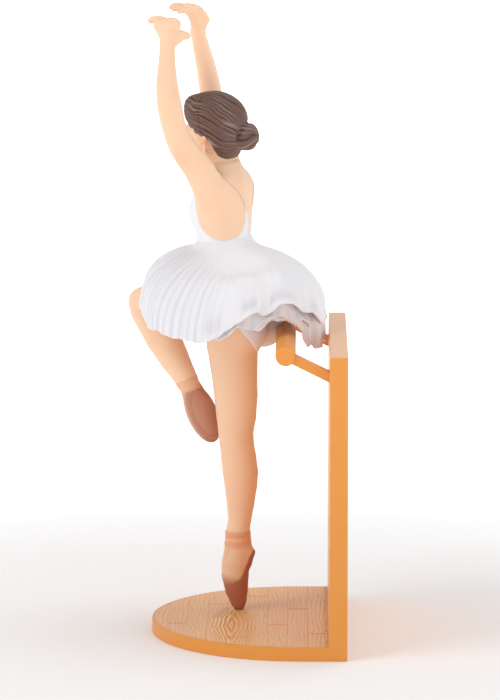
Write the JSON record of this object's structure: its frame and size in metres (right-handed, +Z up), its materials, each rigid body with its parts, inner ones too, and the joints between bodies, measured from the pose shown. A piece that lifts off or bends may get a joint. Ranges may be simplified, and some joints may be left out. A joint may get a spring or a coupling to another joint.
{
  "type": "ballerina figurine on a barre stand",
  "caption": "Small moulded plastic dancer in a tutu on pointe, arms raised, at a toy practice barre with a plank floor and upright wall.",
  "frame": {"origin": "on the stand's underside, in its plane of symmetry, midway between the rounded front edge and the wall's outer face", "axes": "+Z up; -Y is the rounded front of the floor and the way the dancer faces, +Y is the wall; +X is the dancer's left side"},
  "size_m": [0.053, 0.0402, 0.1138],
  "materials": {
    "painted_figure": "painted satin plastic: peach skin, white dress, brown hair, terracotta shoes",
    "moulded_stand": "orange-tan moulded plastic with engraved planks",
    "painted_skin": "satin peach paint on plastic",
    "painted_costume": "matte white paint on plastic: leotard and skirt",
    "painted_hair": "satin brown paint on plastic",
    "painted_shoes": "matte peach and terracotta paint on plastic: pointe shoes"
  },
  "bodies": {
    "root": {"dancer": "painted_figure", "barre_stand": "moulded_stand"}
  },
  "joints": []
}
